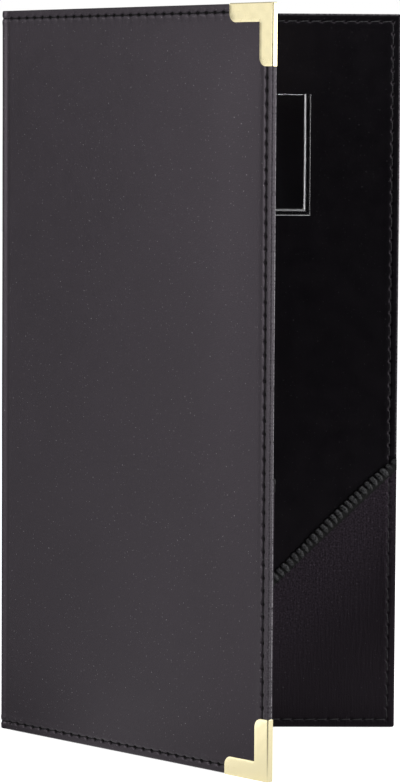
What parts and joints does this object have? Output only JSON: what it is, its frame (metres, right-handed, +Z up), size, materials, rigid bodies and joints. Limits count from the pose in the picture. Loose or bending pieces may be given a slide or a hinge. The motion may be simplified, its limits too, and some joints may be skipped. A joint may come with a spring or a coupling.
{
  "type": "guest check presenter",
  "caption": "Book-style leatherette check folder on end, half open, with sewn edges, ribbed corner pockets, clear card pocket and gold metal corners.",
  "frame": {"origin": "middle of the footprint at the height of the lowest point, on which the presenter stands", "axes": "+Z up along the spine, +X along the back cover from the spine to its free edge, -Y towards the inside and the opened front cover"},
  "size_m": [0.1404, 0.1102, 0.2545],
  "materials": {
    "cover_leatherette": "satin grained leatherette",
    "padding": "thin fleece",
    "board": "grey board",
    "lining": "smooth satin vinyl",
    "outer_thread": "twisted thread",
    "inner_thread": "twisted thread",
    "pocket_leatherette": "satin grained leatherette",
    "binding": "gathered leatherette",
    "elastic": "woven elastic",
    "clear_vinyl": "clear gloss film",
    "gold_corner": "polished pale gold plate"
  },
  "bodies": {
    "back_cover": {"back_skin": "cover_leatherette", "back_padding": "padding", "back_board": "board", "back_lining": "lining", "back_needle_thread": "outer_thread", "back_bobbin_thread": "inner_thread", "back_pocket": "pocket_leatherette", "back_pocket_binding": "binding", "back_pocket_elastic": "elastic", "card_pocket": "clear_vinyl"},
    "spine": {"spine_skin": "cover_leatherette", "spine_lining": "lining", "spine_needle_thread": "outer_thread", "spine_bobbin_thread": "inner_thread"},
    "front_cover": {"front_skin": "cover_leatherette", "front_padding": "padding", "front_board": "board", "front_lining": "lining", "front_needle_thread": "outer_thread", "front_bobbin_thread": "inner_thread", "front_pocket": "pocket_leatherette", "front_pocket_binding": "binding", "front_pocket_elastic": "elastic", "top_corner_cap": "gold_corner", "bottom_corner_cap": "gold_corner"}
  },
  "joints": [
    {"name": "back_crease", "type": "hinge", "parent": "back_cover", "child": "spine", "pos_m": [-0.06733, 0.05473, 0.00025], "axis": [0, 0, -1], "range_deg": [-24.5, 65.5]},
    {"name": "front_crease", "type": "hinge", "parent": "spine", "child": "front_cover", "pos_m": [-0.06982, 0.04927, 0.00025], "axis": [0, 0, -1], "range_deg": [-24.5, 65.5]}
  ],
  "couplings": [
    {"joint": "front_crease", "follows": "back_crease", "ratio": 1}
  ]
}
